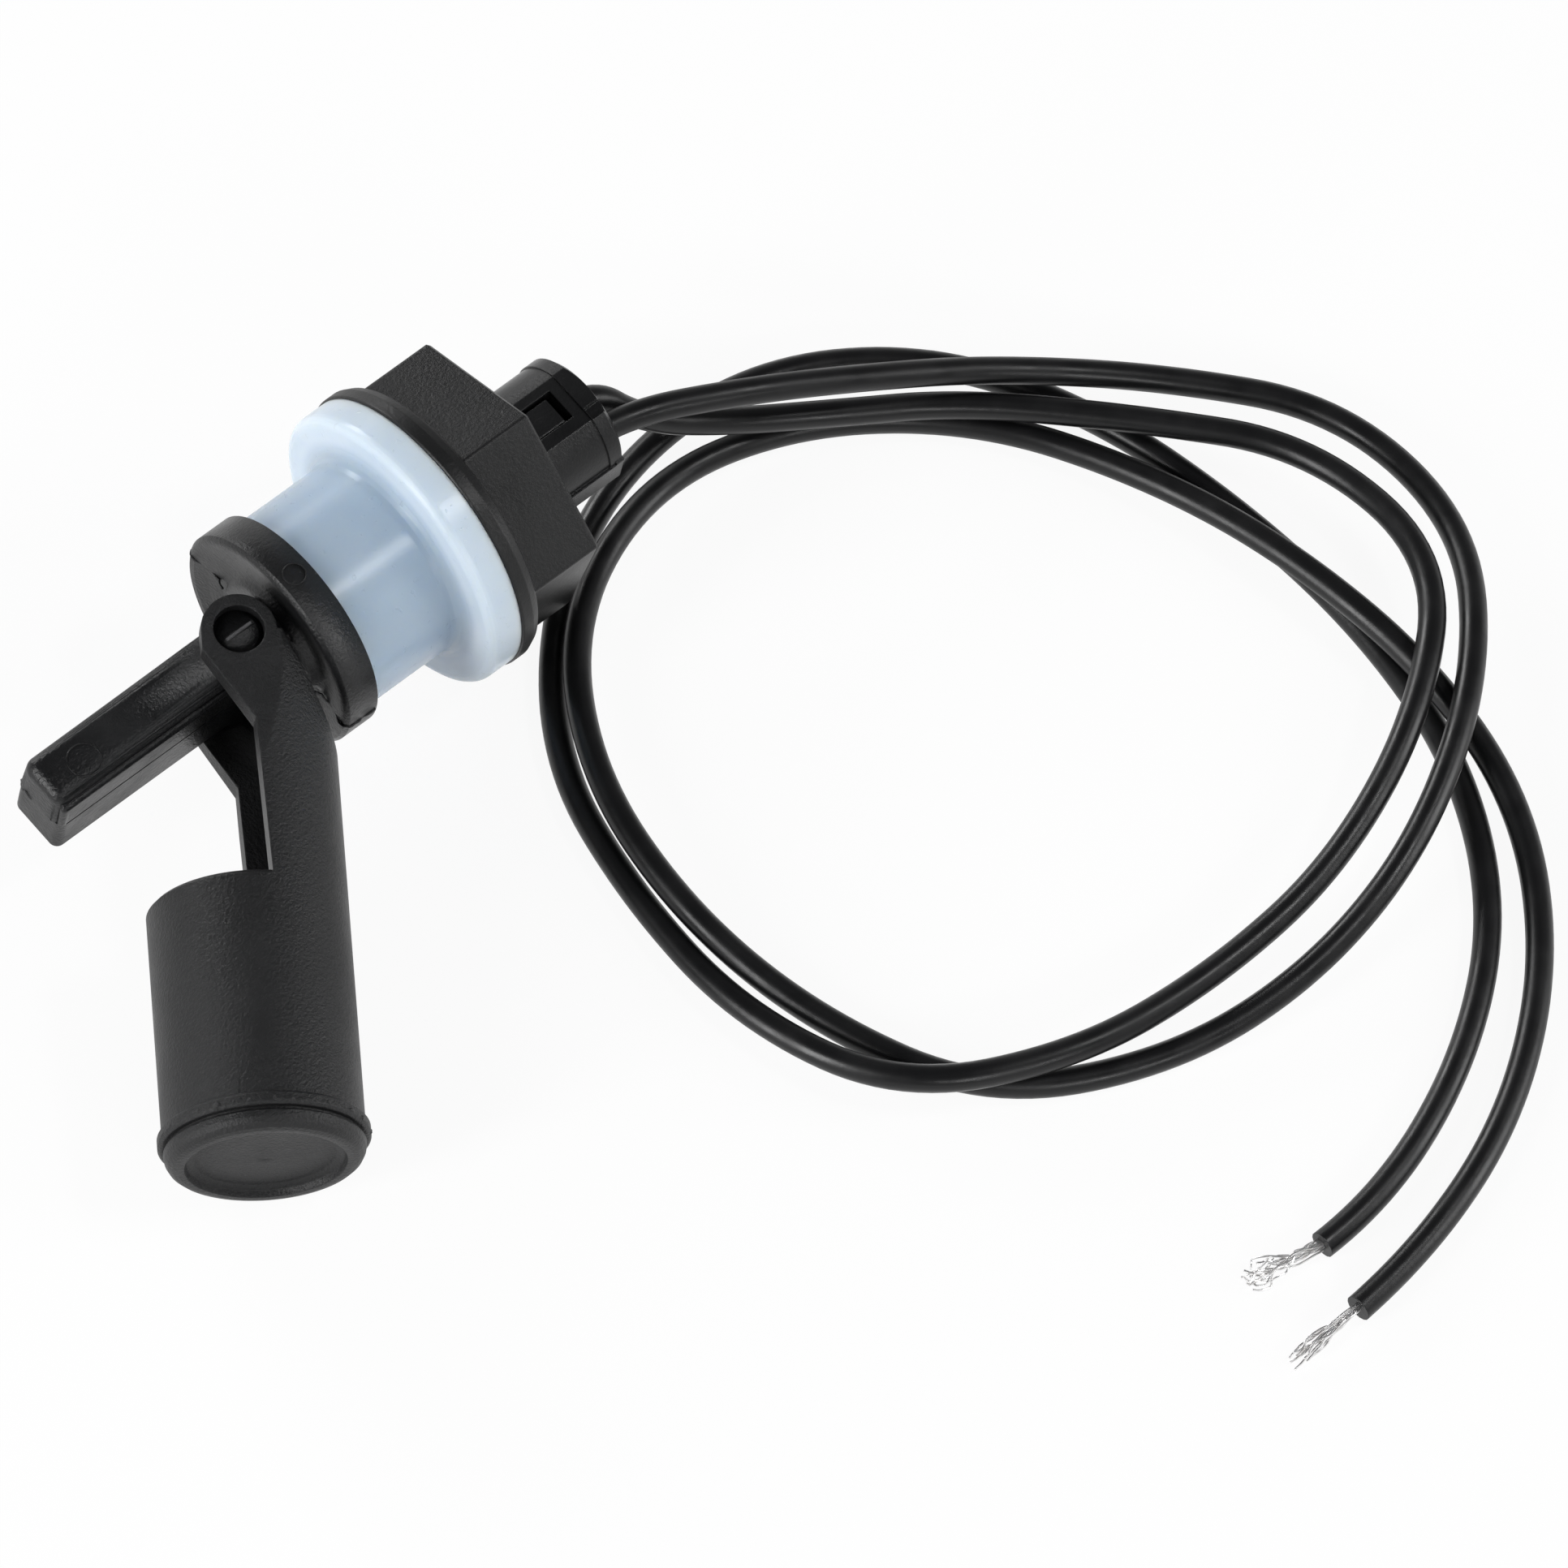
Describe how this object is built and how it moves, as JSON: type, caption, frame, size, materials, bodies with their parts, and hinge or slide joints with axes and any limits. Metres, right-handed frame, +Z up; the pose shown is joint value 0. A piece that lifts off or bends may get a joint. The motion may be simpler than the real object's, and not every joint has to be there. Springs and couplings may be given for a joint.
{
  "type": "float level switch",
  "caption": "Side-mounted float level switch: hinged float with trough arm, split reed housing with clamp disc, expanding seal, hex clamp nut, plug and wires.",
  "frame": {"origin": "stem axis at the face of the seal flange that bears on the tank wall", "axes": "+X along the stem axis from the tank's inside to the plug; +Z up as the switch lies on a table; -Y towards the float's free end"},
  "size_m": [0.1423, 0.1288, 0.03],
  "materials": {
    "housing_black": "moulded, fine spark texture",
    "float_black": "moulded, fine spark texture",
    "nut_black": "moulded, fine spark texture",
    "plug_black": "satin moulded plastic",
    "seal_silicone": "translucent pale blue silicone",
    "wire_black": "semi-gloss PVC sleeve",
    "copper_strands": "tinned copper strands",
    "contact_metal": "tin-plated brass",
    "reed_glass": "clear glass",
    "magnet_metal": "sintered",
    "grommet_rubber": "matte"
  },
  "bodies": {
    "housing": {"housing_half_upper": "housing_black", "housing_half_lower": "housing_black", "reed_capsule": "reed_glass", "reed_lead_front": "contact_metal", "reed_lead_rear": "contact_metal", "contact_pin_left": "contact_metal", "contact_pin_right": "contact_metal", "receptacle": "plug_black", "expanding_seal": "seal_silicone"},
    "nut": {"clamp_nut": "nut_black"},
    "float": {"float_body": "float_black", "float_cap": "float_black", "float_magnet": "magnet_metal"},
    "plug": {"plug_shell": "plug_black", "plug_lock": "plug_black", "crimp_terminal_left": "contact_metal", "crimp_terminal_right": "contact_metal", "wire_seal_left": "grommet_rubber", "wire_seal_right": "grommet_rubber", "wire_left": "wire_black", "wire_right": "wire_black", "wire_end_left": "copper_strands", "wire_end_right": "copper_strands"}
  },
  "joints": [
    {"name": "float_swing", "type": "hinge", "parent": "housing", "child": "float", "pos_m": [-0.0195, 0, 0], "axis": [0, -0.1352, 0.9908], "range_deg": [-53.6, 7]},
    {"name": "nut_turn", "type": "hinge", "parent": "housing", "child": "nut", "pos_m": [0.0035, 0, 0], "axis": [1, 0, 0], "range_deg": [-360, 360]},
    {"name": "plug_pull", "type": "slide", "parent": "housing", "child": "plug", "axis": [1, 0, 0], "range_m": [0, 0.009]}
  ]
}
